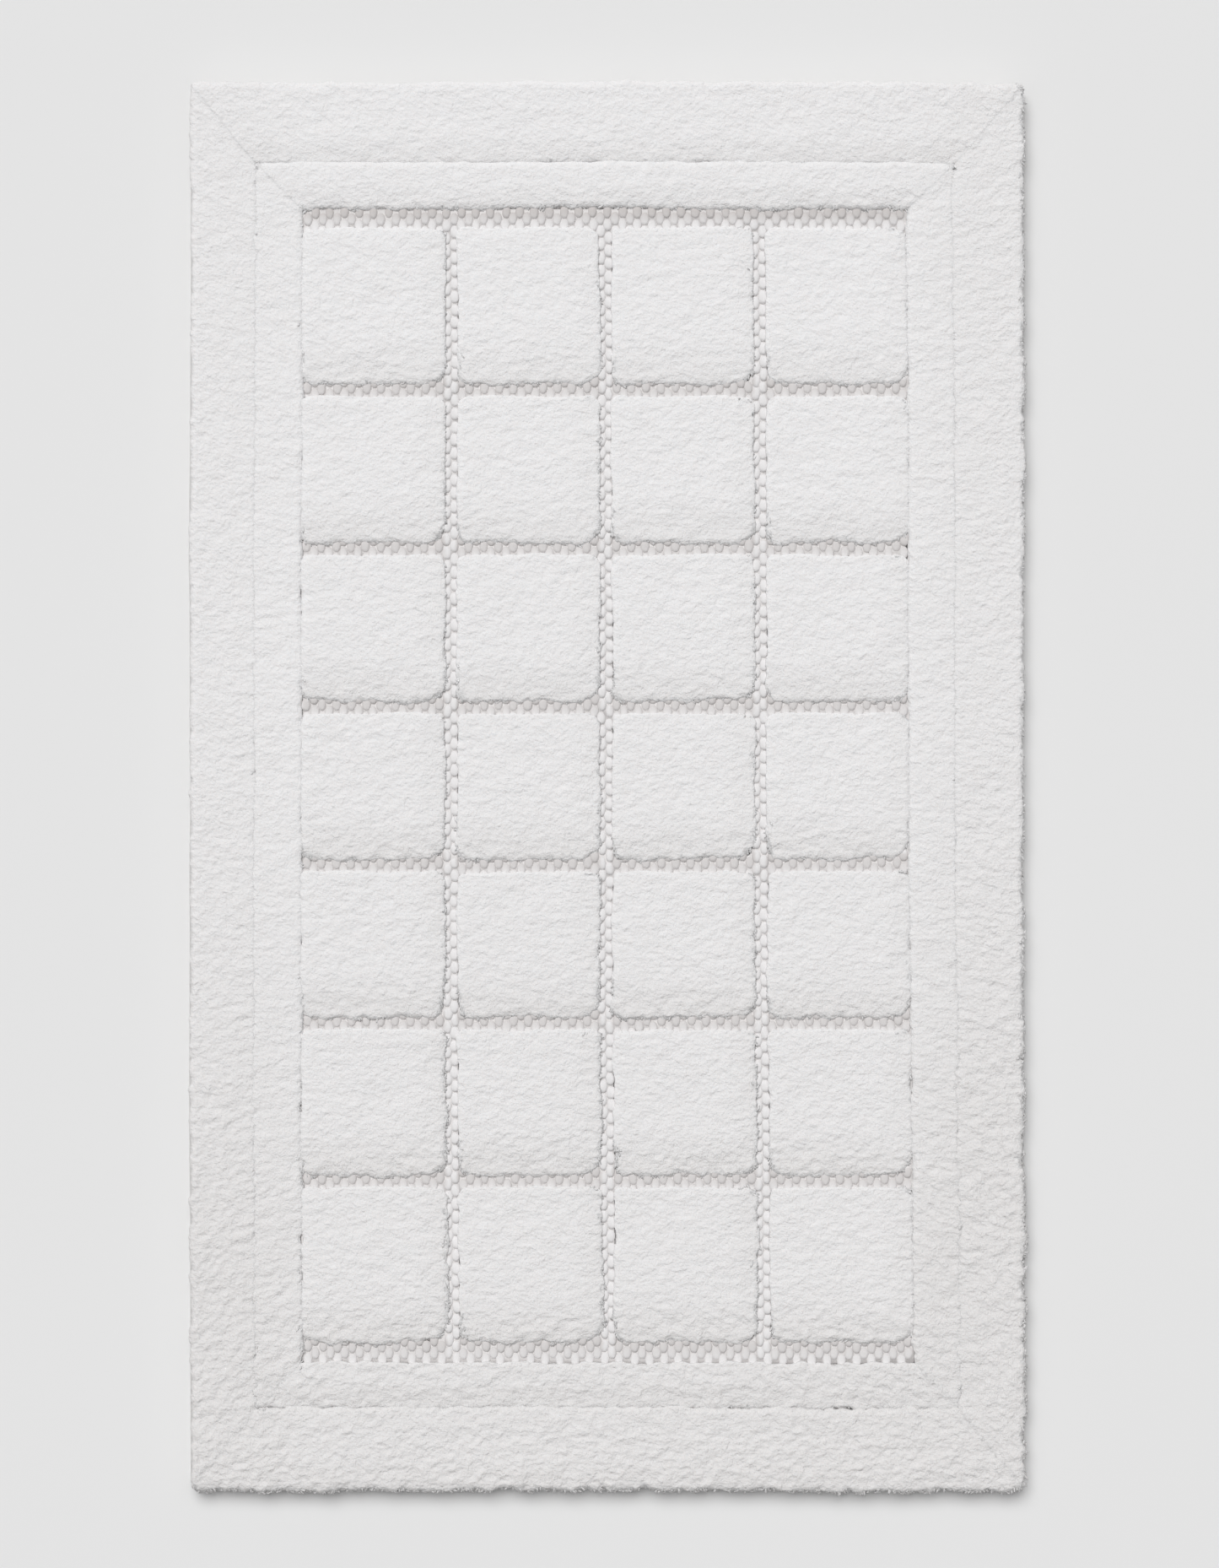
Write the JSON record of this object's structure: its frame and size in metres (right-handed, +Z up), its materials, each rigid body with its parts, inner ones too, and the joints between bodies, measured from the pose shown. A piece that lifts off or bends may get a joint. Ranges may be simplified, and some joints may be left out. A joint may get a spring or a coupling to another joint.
{
  "type": "bath mat",
  "caption": "Rectangular tufted cotton bath mat: raised square pile blocks in a grid of sunk loop-pile channels, inside two flat pile bands, on a hemmed woven ground cloth.",
  "frame": {"origin": "on the floor, under the middle of the mat", "axes": "+X across the mat, +Y along its length towards the head end, +Z up through the pile"},
  "size_m": [0.51, 0.86, 0.0178],
  "materials": {
    "cut_pile": "soft white cut cotton pile, matt",
    "loop_pile": "white uncut cotton loops, tight, matt",
    "ground_cloth": "plain-woven natural white cotton, matt",
    "hem": "turned plain-woven cotton, matt",
    "thread": "white sewing thread, slight sheen",
    "label": "blank white satin tape"
  },
  "bodies": {
    "root": {"ground_cloth": "ground_cloth", "loop_pile_lattice": "loop_pile", "outer_band_head": "cut_pile", "outer_band_foot": "cut_pile", "outer_band_left": "cut_pile", "outer_band_right": "cut_pile", "inner_band_head": "cut_pile", "inner_band_foot": "cut_pile", "inner_band_left": "cut_pile", "inner_band_right": "cut_pile", "pile_block_r1_c1": "cut_pile", "pile_block_r1_c2": "cut_pile", "pile_block_r1_c3": "cut_pile", "pile_block_r1_c4": "cut_pile", "pile_block_r2_c1": "cut_pile", "pile_block_r2_c2": "cut_pile", "pile_block_r2_c3": "cut_pile", "pile_block_r2_c4": "cut_pile", "pile_block_r3_c1": "cut_pile", "pile_block_r3_c2": "cut_pile", "pile_block_r3_c3": "cut_pile", "pile_block_r3_c4": "cut_pile", "pile_block_r4_c1": "cut_pile", "pile_block_r4_c2": "cut_pile", "pile_block_r4_c3": "cut_pile", "pile_block_r4_c4": "cut_pile", "pile_block_r5_c1": "cut_pile", "pile_block_r5_c2": "cut_pile", "pile_block_r5_c3": "cut_pile", "pile_block_r5_c4": "cut_pile", "pile_block_r6_c1": "cut_pile", "pile_block_r6_c2": "cut_pile", "pile_block_r6_c3": "cut_pile", "pile_block_r6_c4": "cut_pile", "pile_block_r7_c1": "cut_pile", "pile_block_r7_c2": "cut_pile", "pile_block_r7_c3": "cut_pile", "pile_block_r7_c4": "cut_pile", "hem_head": "hem", "hem_foot": "hem", "hem_left": "hem", "hem_right": "hem", "hem_stitching_head": "thread", "hem_stitching_foot": "thread", "hem_stitching_left": "thread", "hem_stitching_right": "thread", "care_label": "label"}
  },
  "joints": []
}
